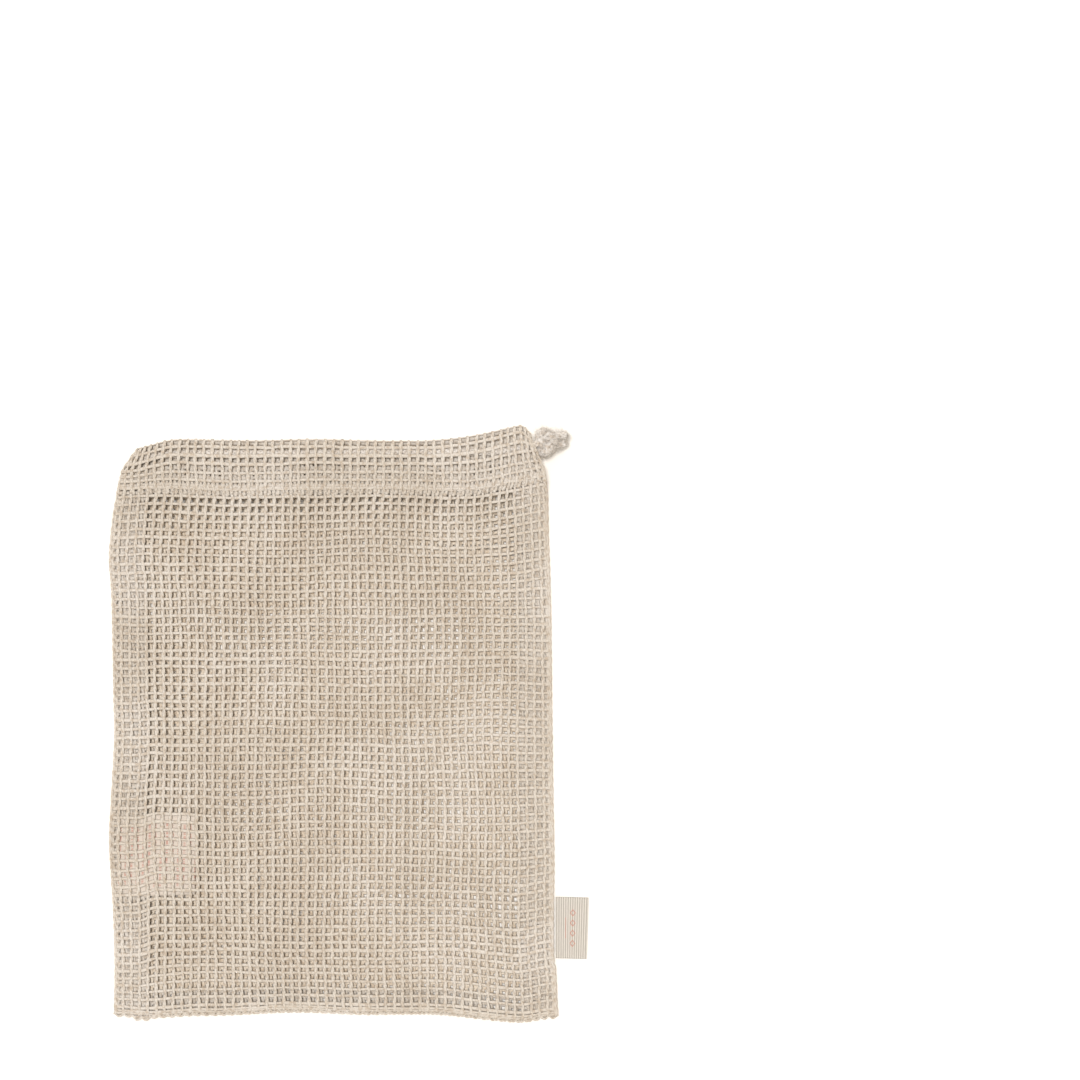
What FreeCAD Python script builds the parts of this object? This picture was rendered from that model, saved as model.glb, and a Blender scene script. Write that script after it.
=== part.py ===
import FreeCAD, Part
import math
import os
import Sketcher
from FreeCAD import Placement, Rotation, Vector

# A small drawstring bag of cotton net, empty and laid flat on its back.
# X runs across the bag with the knot on the +X side, Y from the bottom fold to the mouth, and Z up
# through the front. The origin is on the surface that the bag lies on, under the middle of its box.

SIZES = {
    "bag_width": 195.0,  # from side seam to side seam
    "bag_length": 255.0,  # from the bottom fold to the top fold of the hem
    "cloth": 1.1,  # one layer of net
    "pouch_gap": 4.6,  # free height between the panels, laid flat
    "edge_height": 5.4,  # the bag at its side and bottom edges
    "brim": 0.8,  # how far the front panel's upper side edge is cut back
    "shoulder": 20.4,  # run over which a panel falls to its side edge
    "bottom_reach": 9.5,  # the bottom fold, from its tip to the panels
    "hem_depth": 23.5,  # the casing, from the top fold to the foot of the hem
    "hem_height": 6.2,  # one casing with the cord in it
    "hem_round": 2.4,  # radius of the top fold
    "hem_foot": 2.5,  # width of the stitched foot of the hem
    "arch_rise": 2.5,  # run over which the arched layer rises from the foot, outside
    "tunnel_start": 1.1,  # where the floor of the tunnel starts, from the inside of the foot
    "tunnel_rise": 2.3,  # where its roof starts, which leaves the arched layer thick enough
    "mouth_gap": 4.3,  # free height between the two casings
    "tunnel_height": 4.0,  # free height inside a casing
    "turn_reach": 11.5,  # the stretch of casing that turns round the left edge
    "exit_reach": 14.0,  # the last stretch of casing, where its inner layer is left out
    "exit_overlap": 5.5,  # how much further the other layer is left out, for the cord to come through
    "exit_corner": 9.0,  # how far the casing's right corner is cut back
    "hem_right": 95.5,  # right end of the casing, from the bag's centre line
    "slope_start": 44.0,  # how far below the hem the front panel starts to rise
    "slope_end": 18.0,  # how far above the bottom fold the panel is at its full gap
    "side_space": 0.2,  # free space between an inner piece and the side edge of the cloth
    "allowance_width": 14.2,
    "allowance_end": 0.5,  # how far an allowance stops short of each end of the panels
    "allowance_low": 1.5,
    "allowance_height": 1.8,
    "overlock_width": 2.6,
    "overlock_thread": 0.3,
    "thread": 0.4,
    "seam_line": 1.9,  # from the inside of the side edge to the line of stitches
    "stitch_start": 2.0,  # how far the first stitch of a side seam is from the bottom fold
    "stitch_end": 1.0,  # how far a row of stitches stays from the end of its piece
    "stitch_length": 3.0,
    "stitch_pitch": 4.0,
    "care_label_width": 35.2,
    "care_label_height": 36.0,
    "care_label_middle": -56.0,
    "care_label_low": 3.75,
    "care_label_thick": 0.5,
    "label_reach": 13.0,  # from the side seam to the fold of the side label
    "label_height": 27.0,
    "label_middle": -87.7,
    "label_low": 0.9,
    "label_thick": 1.2,
    "label_ribbon": 0.4,
    "label_gap": 0.2,
    "cord": 3.5,  # diameter of the drawstring
    "knot_width": 8.8,
    "knot_length": 12.0,
    "knot_height": 8.4,
}

# The outline that takes off the casing's right corner, in lengths of exit_corner from that corner.
CORNER_CUT = [(1.0, 0.0), (0.7, 0.6), (0.25, 1.3), (0.0, 1.9)]
PAST = 1.0  # how far a cutting outline goes past what it cuts
ROUND_SPARE = 0.1  # kept off half a height where it is rounded, so that a flat face is left
END_SPARE = 0.01  # the same for the side label, whose end turns in the seam

# The drawstring's route, from the knot through the front casing, round the left edge and back through
# the back casing to the knot. X is counted from the bag's centre line.
FRONT_RUN = [
    Vector(90.2, 126.2, 10.3),
    Vector(82.0, 123.6, 13.6),
    Vector(66.0, 121.6, 13.6),
    Vector(36.0, 122.3, 13.6),
    Vector(-14.0, 121.0, 13.6),
    Vector(-60.0, 121.9, 13.6),
    Vector(-78.0, 121.4, 13.6),
]
BIGHT = [
    Vector(-89.5, 121.5, 13.6),
    Vector(-94.0, 118.3, 10.5),
    Vector(-94.0, 113.7, 6.2),
    Vector(-89.5, 110.5, 3.1),
]
BACK_RUN = [
    Vector(-78.0, 110.9, 3.1),
    Vector(-59.0, 110.4, 3.1),
    Vector(-12.0, 111.6, 3.1),
    Vector(34.0, 113.4, 3.1),
    Vector(64.0, 116.8, 3.1),
    Vector(80.5, 121.4, 3.3),
    Vector(90.2, 125.8, 6.4),
]
UPPER_TAIL = [Vector(95.2, 129.0, 9.4), Vector(99.4, 130.3, 9.2), Vector(103.2, 129.8, 8.6)]
LOWER_TAIL = [Vector(95.2, 125.2, 7.2), Vector(99.6, 124.9, 6.8), Vector(102.8, 125.8, 6.4)]
KNOT_MIDDLE = Vector(93.2, 127.4, 8.35)
BEND_SHARE = 0.45  # how much of the shorter run beside a corner its arc takes


class Size:
    """A length and the formula on the sheet that gives it."""

    def __init__(self, value, formula=None):
        self.value = value
        self.formula = formula or repr(value)

    def joined(self, other, sign, value):
        return Size(value, f"({self.formula} {sign} {as_size(other).formula})")

    def __add__(self, other):
        return self.joined(other, "+", self.value + as_size(other).value)

    def __sub__(self, other):
        return self.joined(other, "-", self.value - as_size(other).value)

    def __mul__(self, number):
        return self.joined(number, "*", self.value * number)

    def __truediv__(self, number):
        return self.joined(number, "/", self.value / number)

    def __neg__(self):
        return self * -1.0


def as_size(thing):
    return thing if isinstance(thing, Size) else Size(float(thing))


doc = FreeCAD.newDocument("mesh_laundry_bag")
sheet = doc.addObject("Spreadsheet::Sheet", "Sizes")
for row, (alias, number) in enumerate(SIZES.items(), 1):
    sheet.set(f"A{row}", alias)
    sheet.set(f"B{row}", repr(number))
    sheet.setAlias(f"B{row}", alias)
doc.recompute()


def size(alias):
    return Size(float(sheet.get(alias)), f"Sizes.{alias}")


half_width = size("bag_width") / 2
half_length = size("bag_length") / 2
cloth = size("cloth")
foot_of_hem = half_length - size("hem_depth")
top_of_fold = -half_length + size("bottom_reach")
front_hem_low = size("hem_height") + size("mouth_gap")
whole_height = front_hem_low + size("hem_height")
hem_left = -half_width + size("turn_reach")
one_layer_from = size("hem_right") - size("exit_reach") - size("exit_overlap")
inside_edge = half_width - cloth - size("side_space")
centre_x = -size("label_reach") / 2

sub_parts = []


def finish(part, label):
    """Names a sub-part and puts the bag's centre line where the frame has it."""
    part.Label = label
    part.setExpression("Placement.Base.x", centre_x.formula)
    sub_parts.append(part)
    return part


def new_body(label):
    return finish(doc.addObject("PartDesign::Body", label), label)


def bind(thing, name, length):
    setattr(thing, name, length.value)
    thing.setExpression(name, length.formula)


def profile(body, plane, corners, offset=None):
    """A closed outline of straight lines on one of the body's own planes, each corner bound to the sheet."""
    sketch = body.newObject("Sketcher::SketchObject", f"{body.Label}_outline")
    support = next(f for f in body.Origin.OriginFeatures if f.Role == plane)
    sketch.AttachmentSupport = [(support, "")]
    sketch.MapMode = "FlatFace"
    if offset is not None:
        sketch.setExpression("AttachmentOffset.Base.z", offset.formula)
    count = len(corners)
    spots = [Vector(as_size(u).value, as_size(v).value, 0) for u, v in corners]
    for n in range(count):
        sketch.addGeometry(Part.LineSegment(spots[n], spots[(n + 1) % count]), False)
    for n in range(count):
        sketch.addConstraint(Sketcher.Constraint("Coincident", n, 2, (n + 1) % count, 1))
    for n, corner in enumerate(corners):
        for kind, length in zip(("DistanceX", "DistanceY"), map(as_size, corner)):
            index = sketch.addConstraint(Sketcher.Constraint(kind, n, 1, length.value))
            sketch.setExpression(f"Constraints[{index}]", length.formula)
    return sketch


def pad(body, sketch, length, reversed_way=False):
    feature = body.newObject("PartDesign::Pad", f"{body.Label}_pad")
    feature.Profile = sketch
    feature.Reversed = reversed_way
    bind(feature, "Length", length)
    doc.recompute()
    return feature


def pocket(body, sketch):
    """Cuts the outline right through the body, both ways from its plane."""
    before = body.Shape.Volume
    feature = body.newObject("PartDesign::Pocket", f"{body.Label}_pocket")
    feature.Profile = sketch
    feature.Type = "ThroughAll"
    feature.Midplane = True
    doc.recompute()
    if not body.Shape.Volume < before - 1.0:
        raise RuntimeError(f"{body.Label}: the pocket cuts nothing")
    return feature


def fillet(body, base, radius, wanted):
    """Rounds the edges whose middle is one of the wanted places, in the body's own axes."""
    names = []
    for n, edge in enumerate(base.Shape.Edges, 1):
        middle = edge.CenterOfMass
        if any(abs(middle[a] - b.value) < 0.05 and abs(middle[c] - d.value) < 0.05
               for a, b, c, d in wanted):
            names.append(f"Edge{n}")
    feature = body.newObject("PartDesign::Fillet", f"{body.Label}_fillet")
    feature.Base = (base, names)
    bind(feature, "Radius", radius)
    doc.recompute()
    return feature


def row_of(body, first, direction, length, count):
    """Repeats a feature along one of the body's own axes."""
    pattern = body.newObject("PartDesign::LinearPattern", f"{body.Label}_row")
    pattern.Originals = [first]
    axis = next(f for f in body.Origin.OriginFeatures if f.Role == direction)
    pattern.Direction = (axis, [""])
    bind(pattern, "Length", length)
    pattern.Occurrences = count
    body.Tip = pattern
    doc.recompute()
    return pattern


def slab(label, x_low, x_high, y_low, y_high, z_low, thickness):
    """A flat piece: an outline seen from above, raised by its thickness."""
    body = new_body(label)
    corners = [(x_low, y_low), (x_high, y_low), (x_high, y_high), (x_low, y_high)]
    return body, pad(body, profile(body, "XY_Plane", corners, z_low), thickness)


def back_panel():
    slab("back_panel", -half_width, half_width, top_of_fold, foot_of_hem, Size(0.0), cloth)


def bottom_fold():
    """The cloth where it turns from the back panel to the front one."""
    body = new_body("bottom_fold")
    tip, end, high = -half_length, top_of_fold, size("edge_height")
    corners = [(end, 0), (end, cloth), (tip + cloth, cloth), (tip + cloth, high - cloth),
               (end, high - cloth), (end, high), (tip, high), (tip, 0)]
    sketch = profile(body, "YZ_Plane", corners, -half_width)
    solid = pad(body, sketch, size("bag_width"))
    outside = [(1, tip, 2, Size(0.0)), (1, tip, 2, high)]
    inside = [(1, tip + cloth, 2, cloth), (1, tip + cloth, 2, high - cloth)]
    rounded = fillet(body, solid, high / 2 - ROUND_SPARE, outside)
    fillet(body, rounded, high / 2 - cloth - ROUND_SPARE, inside)


def front_panel():
    """The upper layer, which falls to the side edges and rises to the hem."""
    body = new_body("front_panel")
    edge, wall = size("edge_height"), half_width - cloth
    brim = half_width - size("brim")
    flat = wall - size("shoulder")
    low_gap = edge - cloth
    stations = [
        (top_of_fold, low_gap),
        (top_of_fold + size("slope_end"), cloth + size("pouch_gap")),
        (foot_of_hem - size("slope_start"), cloth + size("pouch_gap")),
        (foot_of_hem, front_hem_low),
    ]
    sketches = []
    for place, under in stations:
        right = [(half_width, cloth), (half_width, edge - size("brim")), (brim, edge), (flat, under + cloth)]
        right_under = [(flat, under), (wall, low_gap), (wall, cloth)]
        left = [(-x, z) for x, z in reversed(right)]
        left_under = [(-x, z) for x, z in reversed(right_under)]
        corners = right + left + left_under + right_under
        sketches.append(profile(body, "XZ_Plane", corners, -place))
    loft = body.newObject("PartDesign::AdditiveLoft", "front_panel_loft")
    loft.Profile = sketches[0]
    loft.Sections = sketches[1:]
    loft.Ruled = True
    doc.recompute()


def casing(label, low, keeps_top):
    """One hem tunnel: a flat layer, the arched one over it, and a last stretch left open for the cord."""
    body = new_body(label)
    foot, top = foot_of_hem, half_length
    high = low + size("hem_height")
    foot_top = low + cloth * 2
    arch = foot + size("hem_foot")
    outline = [(foot, low), (top, low), (top, high), (arch + size("arch_rise"), high), (arch, foot_top),
               (foot, foot_top)]
    solid = pad(body, profile(body, "YZ_Plane", outline, hem_left), size("hem_right") - hem_left)
    roof = low + cloth + size("tunnel_height")
    tunnel = [(arch + size("tunnel_start"), low + cloth), (top - cloth, low + cloth), (top - cloth, roof),
              (arch + size("tunnel_rise"), roof)]
    hollow = pocket(body, profile(body, "YZ_Plane", tunnel, hem_left))
    fillet(body, hollow, size("hem_round"), [(1, top, 2, low), (1, top, 2, high)])
    middle = low + size("hem_height") / 2
    ends = (low - PAST, middle) if keeps_top else (middle, high + PAST)
    right = size("hem_right") + PAST
    opening = [(one_layer_from, ends[0]), (right, ends[0]), (right, ends[1]), (one_layer_from, ends[1])]
    pocket(body, profile(body, "XZ_Plane", opening))
    reach = size("exit_corner")
    corner = [(size("hem_right") - reach * aside, top - reach * down) for aside, down in CORNER_CUT]
    corner[0] = (corner[0][0], top + PAST)
    corner += [(right, corner[-1][1]), (right, top + PAST)]
    pocket(body, profile(body, "XY_Plane", corner))


def casing_left_turn():
    """The stretch of tunnel that carries the cord round the left edge, from the front to the back."""
    body = new_body("casing_left_turn")
    left, right, high = -half_width, hem_left, whole_height
    block = [(left, 0), (right, 0), (right, high), (left, high)]
    solid = pad(body, profile(body, "XZ_Plane", block, -foot_of_hem), size("hem_depth"), True)
    outside = [(0, left, 2, Size(0.0)), (0, left, 2, high)]
    rounded = fillet(body, solid, high / 2 - ROUND_SPARE, outside)
    shell = body.newObject("PartDesign::Thickness", "casing_left_turn_shell")
    faces = []
    for n, face in enumerate(rounded.Shape.Faces, 1):
        middle = face.CenterOfMass
        if abs(middle.x - right.value) < 0.01 or abs(middle.y - foot_of_hem.value) < 0.01:
            faces.append(f"Face{n}")
    shell.Base = (rounded, faces)
    bind(shell, "Value", cloth)
    shell.Reversed = True
    shell.Join = "Intersection"
    doc.recompute()


def seam_allowance(label, side):
    """Two layers of turned-in net along a side seam."""
    inner = inside_edge - size("allowance_width")
    x_low, x_high = (inner, inside_edge) if side > 0 else (-inside_edge, -inner)
    y_low, y_high = top_of_fold + size("allowance_end"), foot_of_hem - size("allowance_end")
    slab(label, x_low, x_high, y_low, y_high, size("allowance_low"), size("allowance_height"))


def overlock(label, side):
    """The thread wrapped over the raw edge of a seam allowance."""
    body = new_body(label)
    edge = inside_edge - size("allowance_width")
    thread = size("overlock_thread")
    low, high = size("allowance_low"), size("allowance_low") + size("allowance_height")
    reach = edge + size("overlock_width")
    corners = [(reach, low - thread), (reach, low), (edge, low), (edge, high), (reach, high),
               (reach, high + thread), (edge - thread, high + thread), (edge - thread, low - thread)]
    if side < 0:
        corners = [(-x, z) for x, z in reversed(corners)]
    start = top_of_fold + size("allowance_end")
    length = foot_of_hem - size("allowance_end") - start
    pad(body, profile(body, "XZ_Plane", corners, -start), length, True)


def stitch_row(label, x_low, x_high, y_low, y_high, z_low, direction, run):
    """A row of straight stitches lying on the cloth."""
    body, first = slab(label, x_low, x_high, y_low, y_high, z_low, size("thread"))
    count = int(run.value / size("stitch_pitch").value) + 1
    row_of(body, first, direction, size("stitch_pitch") * float(count - 1), count)


def seam_stitches(label, side):
    middle = (half_width - cloth - size("seam_line")) * float(side)
    low = size("allowance_low") + size("allowance_height")
    start = top_of_fold + size("stitch_start")
    half = size("thread") / 2
    run = foot_of_hem - start - size("stitch_length") - size("stitch_end")
    stitch_row(label, middle - half, middle + half, start, start + size("stitch_length"), low, "Y_Axis", run)


def casing_stitches(label, low):
    start = hem_left + size("stitch_end")
    middle = foot_of_hem + size("hem_foot") / 2
    half = size("thread") / 2
    run = one_layer_from - size("stitch_end") - start - size("stitch_length")
    stitch_row(label, start, start + size("stitch_length"), middle - half, middle + half,
               low + cloth * 2, "X_Axis", run)


def care_label():
    """A folded satin tag sewn into the left seam, inside the bag."""
    left = -inside_edge
    half = size("care_label_height") / 2
    middle = size("care_label_middle")
    slab("care_label", left, left + size("care_label_width"), middle - half, middle + half,
         size("care_label_low"), size("care_label_thick"))


def side_label():
    """A loop of ribbon that stands out of the right seam and turns about its rounded end."""
    body = new_body("side_label")
    low, thick = size("label_low"), size("label_thick")
    inner = half_width + size("label_gap")
    outer = half_width + size("label_reach")
    ribbon = size("label_ribbon")
    high = low + thick
    neck = inner + thick
    corners = [(inner, low), (outer, low), (outer, high), (inner, high)]
    place = -(size("label_middle") - size("label_height") / 2)
    solid = pad(body, profile(body, "XZ_Plane", corners, place), size("label_height"), True)
    slot = [(neck, low + ribbon), (outer - ribbon, low + ribbon), (outer - ribbon, high - ribbon),
            (neck, high - ribbon)]
    hollow = pocket(body, profile(body, "XZ_Plane", slot, place))
    ends = [(0, inner, 2, low), (0, inner, 2, high), (0, outer, 2, low), (0, outer, 2, high)]
    fillet(body, hollow, thick / 2 - END_SPARE, ends)


def rounded_route(name, points, before=None, after=None):
    """Straight runs joined by tangent arcs. The route's neighbours give the direction at each end."""
    route = ([before] if before else []) + points + ([after] if after else [])
    edges, here = [], (route[0] + route[1]) / 2 if before else route[0]
    for last, corner, following in zip(route, route[1:], route[2:]):
        way_in = (corner - last).normalize()
        way_out = (following - corner).normalize()
        half_turn = way_in.getAngle(way_out) / 2
        reach = BEND_SHARE * min(last.distanceToPoint(corner), corner.distanceToPoint(following))
        radius = reach / math.tan(half_turn)
        print(f"{name}: bend radius {radius:.1f} mm")
        start = corner - way_in * reach
        end = corner + way_out * reach
        inward = (way_out - way_in).normalize()
        top = corner + inward * (radius / math.cos(half_turn) - radius)
        edges.append(Part.LineSegment(here, start).toShape())
        edges.append(Part.Arc(start, top, end).toShape())
        here = end
    last_spot = (route[-2] + route[-1]) / 2 if after else route[-1]
    edges.append(Part.LineSegment(here, last_spot).toShape())
    return Part.Wire(edges)


def cord_piece(label, points, before=None, after=None):
    """A plain tube along a stretch of the drawstring's route."""
    path = doc.addObject("Part::Feature", f"{label}_path")
    path.Shape = rounded_route(label, points, before, after)
    start = path.Shape.Edges[0].firstVertex().Point
    way = path.Shape.Edges[0].tangentAt(path.Shape.Edges[0].FirstParameter)
    section = doc.addObject("Part::Circle", f"{label}_section")
    section.Placement = Placement(start, Rotation(Vector(0, 0, 1), way))
    bind(section, "Radius", size("cord") / 2)
    tube = doc.addObject("Part::Sweep", label)
    tube.Sections = [section]
    tube.Spine = (path, [f"Edge{n}" for n in range(1, len(path.Shape.Edges) + 1)])
    tube.Solid = True
    tube.Frenet = False
    finish(tube, label)
    doc.recompute()
    wanted = math.pi * (size("cord").value / 2) ** 2 * path.Shape.Length
    print(f"{label}: length {path.Shape.Length:.1f} mm, volume {tube.Shape.Volume:.1f} of {wanted:.1f} mm3")


def drawstring_knot():
    """The overhand knot that ties both ends of the cord together."""
    knot = doc.addObject("Part::Ellipsoid", "drawstring_knot")
    bind(knot, "Radius1", size("knot_height") / 2)
    bind(knot, "Radius2", size("knot_width") / 2)
    bind(knot, "Radius3", size("knot_length") / 2)
    knot.Placement = Placement(KNOT_MIDDLE, Rotation())
    finish(knot, "drawstring_knot")
    knot.setExpression("Placement.Base.x", (centre_x + KNOT_MIDDLE.x).formula)


back_panel()
bottom_fold()
front_panel()
casing("front_casing", front_hem_low, True)
casing("back_casing", Size(0.0), False)
casing_left_turn()
for side_name, way in (("left", -1), ("right", 1)):
    seam_allowance(f"{side_name}_seam_allowance", way)
    overlock(f"{side_name}_overlock", way)
    seam_stitches(f"{side_name}_seam_stitches", way)
casing_stitches("front_casing_stitches", front_hem_low)
casing_stitches("back_casing_stitches", Size(0.0))
care_label()
side_label()
cord_piece("drawstring_front_run", FRONT_RUN, after=BIGHT[0])
cord_piece("drawstring_bight", BIGHT, before=FRONT_RUN[-1], after=BACK_RUN[0])
cord_piece("drawstring_back_run", BACK_RUN, before=BIGHT[-1])
drawstring_knot()
cord_piece("drawstring_upper_tail", UPPER_TAIL)
cord_piece("drawstring_lower_tail", LOWER_TAIL)
doc.recompute()

for thing in doc.Objects:
    if "Invalid" in thing.State or "Error" in thing.State:
        raise RuntimeError(f"{thing.Label} failed: {thing.State}")
for part in sub_parts:
    if part.Shape.isNull() or not part.Shape.isValid():
        raise RuntimeError(f"{part.Label} has no valid shape")

os.makedirs("parts", exist_ok=True)
for part in sub_parts:
    part.Shape.exportStep(f"parts/{part.Label}.step")
    box = part.Shape.BoundBox
    print(f"{part.Label}: {len(part.Shape.Solids)} solids, volume {part.Shape.Volume:.0f} mm3, "
          f"x {box.XMin:.2f}..{box.XMax:.2f}, y {box.YMin:.2f}..{box.YMax:.2f}, z {box.ZMin:.2f}..{box.ZMax:.2f}")
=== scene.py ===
import math

import bpy
import numpy as np
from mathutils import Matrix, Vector


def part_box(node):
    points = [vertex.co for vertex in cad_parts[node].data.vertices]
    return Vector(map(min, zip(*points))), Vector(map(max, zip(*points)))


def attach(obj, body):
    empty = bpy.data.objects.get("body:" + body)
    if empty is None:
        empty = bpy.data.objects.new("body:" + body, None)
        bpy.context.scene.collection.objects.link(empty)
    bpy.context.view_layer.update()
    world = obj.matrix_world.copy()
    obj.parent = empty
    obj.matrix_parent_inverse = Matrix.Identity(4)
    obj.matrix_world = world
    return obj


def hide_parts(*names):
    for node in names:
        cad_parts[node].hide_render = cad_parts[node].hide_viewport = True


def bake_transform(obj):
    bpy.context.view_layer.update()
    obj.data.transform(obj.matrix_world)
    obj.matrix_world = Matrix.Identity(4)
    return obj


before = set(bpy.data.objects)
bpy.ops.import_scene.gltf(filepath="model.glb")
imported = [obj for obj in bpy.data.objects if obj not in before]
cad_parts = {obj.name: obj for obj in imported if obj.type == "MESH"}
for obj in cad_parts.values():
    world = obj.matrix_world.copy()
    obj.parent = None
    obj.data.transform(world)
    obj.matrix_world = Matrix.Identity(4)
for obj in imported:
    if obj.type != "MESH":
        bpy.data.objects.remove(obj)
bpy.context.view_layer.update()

# Lengths are in millimetres from the middle of the bag, with Z up from what it lies on, until to_frame()
# turns them into the frame's metres.


def node_box(node):
    """The lowest and highest corners of a CAD node, in millimetres from the frame's origin."""
    return [np.array(corner) * 1000 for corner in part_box(node)]


panel_low, panel_high = node_box("front_panel")
fold_low, fold_high = node_box("bottom_fold")
CENTRE = (panel_low[0] + panel_high[0]) / 2
HALF_WIDTH = (panel_high[0] - panel_low[0]) / 2
TIP = fold_low[1]  # the bottom of the bag
FOLD = fold_high[1]  # where its panels start
FOOT = panel_high[1]  # the foot of the hem
TOP = node_box("front_casing")[1][1]
CARE_MIDDLE = sum(corner[1] for corner in node_box("care_label")) / 2

COLUMNS = 52  # cells of net across the bag
PITCH_X = 2 * HALF_WIDTH / COLUMNS
PITCH_Y = 3.79  # from one row of the net to the next


def to_frame(points):
    return (np.asarray(points, float) + (CENTRE, 0.0, 0.0)) / 1000.0


def smooth(t):
    t = np.clip(t, 0.0, 1.0)
    return t * t * (3.0 - 2.0 * t)


def rise(value, start, end):
    """0 before start, 1 past end, and a smooth step between them."""
    return smooth((value - start) / (end - start))


# ---- camera

# Straight down, from so far that the view is VIEW_WIDTH across on the floor.
LENS = 100.0
SENSOR = 36.0
VIEW_WIDTH = 478.0
VIEW_MIDDLE = (90.9, 83.6)

camera_data = bpy.data.cameras.new("camera")
camera_data.lens = LENS
camera_data.sensor_width = SENSOR
camera_data.clip_end = 20.0
camera = bpy.data.objects.new("camera", camera_data)
bpy.context.collection.objects.link(camera)
camera.location = to_frame((*VIEW_MIDDLE, VIEW_WIDTH * LENS / SENSOR))
camera.rotation_euler = (0.0, 0.0, 0.0)
bpy.context.scene.camera = camera


# ---- meshes

def new_object(name, mesh):
    thing = bpy.data.objects.new(name, mesh)
    bpy.context.collection.objects.link(thing)
    return thing


class Build:
    """Gathers faces and makes one mesh of them."""

    def __init__(self):
        self.verts, self.faces, self.count = [], {}, 0

    def add(self, verts, faces):
        verts = np.asarray(verts, float).reshape(-1, 3)
        for block in faces:
            block = np.asarray(block)
            self.faces.setdefault(block.shape[1], []).append(block + self.count)
        self.verts.append(verts)
        self.count += len(verts)

    def tubes(self, points, side, up, wide, high, sides=6, flip=False):
        """A tube along each row of points, with its cross-section's half width and half height."""
        yarns, rings = points.shape[:2]
        turn = np.arange(sides) * 2 * math.pi / sides
        across = (wide[..., None] * np.cos(turn))[..., None] * side[:, :, None, :]
        above = (high[..., None] * np.sin(turn))[..., None] * up[:, :, None, :]
        ring_points = points[:, :, None, :] + across + above
        index = np.arange(yarns * rings * sides).reshape(yarns, rings, sides)
        a, b = index[:, :-1], index[:, 1:]
        quads = np.stack([a, b, np.roll(b, -1, 2), np.roll(a, -1, 2)], -1).reshape(-1, 4)
        first, last = index[:, 0, :], index[:, -1, ::-1]
        if not flip:
            quads = quads[:, ::-1]
            first, last = first[:, ::-1], last[:, ::-1]
        self.add(ring_points, [quads, first, last])

    def mesh(self, name, material, flat_map=False):
        """The object made of it all, with a flat map of its plan if flat_map is set."""
        verts = to_frame(np.concatenate(self.verts))
        mesh = bpy.data.meshes.new(name)
        blocks = [np.concatenate(self.faces[n]) for n in sorted(self.faces)]
        sizes = np.concatenate([np.full(len(b), b.shape[1]) for b in blocks])
        corners = np.concatenate([b.reshape(-1) for b in blocks])
        mesh.vertices.add(len(verts))
        mesh.loops.add(len(corners))
        mesh.polygons.add(len(sizes))
        mesh.vertices.foreach_set("co", verts.astype(np.float32).reshape(-1))
        mesh.loops.foreach_set("vertex_index", corners.astype(np.int32))
        starts = np.concatenate([[0], np.cumsum(sizes)[:-1]])
        mesh.polygons.foreach_set("loop_start", starts.astype(np.int32))
        mesh.polygons.foreach_set("use_smooth", np.ones(len(sizes), bool))
        mesh.update(calc_edges=True)
        mesh.validate()
        if flat_map:
            low, high = verts.min(0), verts.max(0)
            place = (verts - low) / np.maximum(high - low, 1e-6)
            layer = mesh.uv_layers.new(name="OFBake")
            layer.data.foreach_set("uv", place[corners][:, :2].astype(np.float32).reshape(-1))
        mesh.materials.append(material)
        return new_object(name, mesh)


def unit(vectors):
    return vectors / np.maximum(np.linalg.norm(vectors, axis=-1, keepdims=True), 1e-9)


def through(points, steps=24):
    """A smooth curve through a few points, sampled finely (Catmull-Rom)."""
    p = np.asarray(points, float)
    p = np.concatenate([[2 * p[0] - p[1]], p, [2 * p[-1] - p[-2]]])
    t = np.linspace(0, 1, steps, endpoint=False)[:, None]
    out = []
    for a, b, c, d in zip(p, p[1:], p[2:], p[3:]):
        out.append(0.5 * (2 * b + (c - a) * t + (2 * a - 5 * b + 4 * c - d) * t ** 2
                          + (3 * b - a - 3 * c + d) * t ** 3))
    return np.concatenate(out + [p[-2:-1]])


class Drift:
    """Smooth random wander along each yarn, the same wherever a yarn is cut into pieces."""

    def __init__(self, seed, yarns, knots):
        self.table = np.random.default_rng(seed).normal(size=(yarns, knots))

    def __call__(self, yarn, t):
        t = np.clip(t, 0, self.table.shape[1] - 1.001)
        knot = t.astype(int)
        part = t - knot
        part = part * part * (3 - 2 * part)
        return self.table[yarn, knot] * (1 - part) + self.table[yarn, knot + 1] * part


# ---- the cloth's shape

# Each side of the bag is one strip of net: from the tip of the bottom fold, up the panel, over the
# top fold of the hem, down inside it to the stitched foot, and a short way up again. (y, z) of its middle.
FRONT_STRIP = through([
    (TIP + 0.3, 2.4), (TIP + 1.0, 3.3), (TIP + 3.2, 3.8), (TIP + 9.0, 4.0), (-110.0, 4.2), (-97.0, 4.8),
    (-60.0, 5.0), (0.0, 5.0), (60.0, 5.0), (78.0, 5.6), (91.0, 7.3), (100.0, 9.8), (105.0, 11.5),
    (108.8, 13.0), (112.0, 14.2), (115.0, 15.4), (118.0, 16.0), (121.8, 15.95), (125.2, 15.0),
    (TOP - 0.4, 13.2), (125.8, 11.6), (122.0, 11.2), (118.0, 12.0), (114.0, 13.2), (109.0, 12.0),
    (105.2, 11.2), (103.2, 10.7), (104.6, 10.2), (107.5, 10.3), (110.4, 10.8),
])
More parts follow.
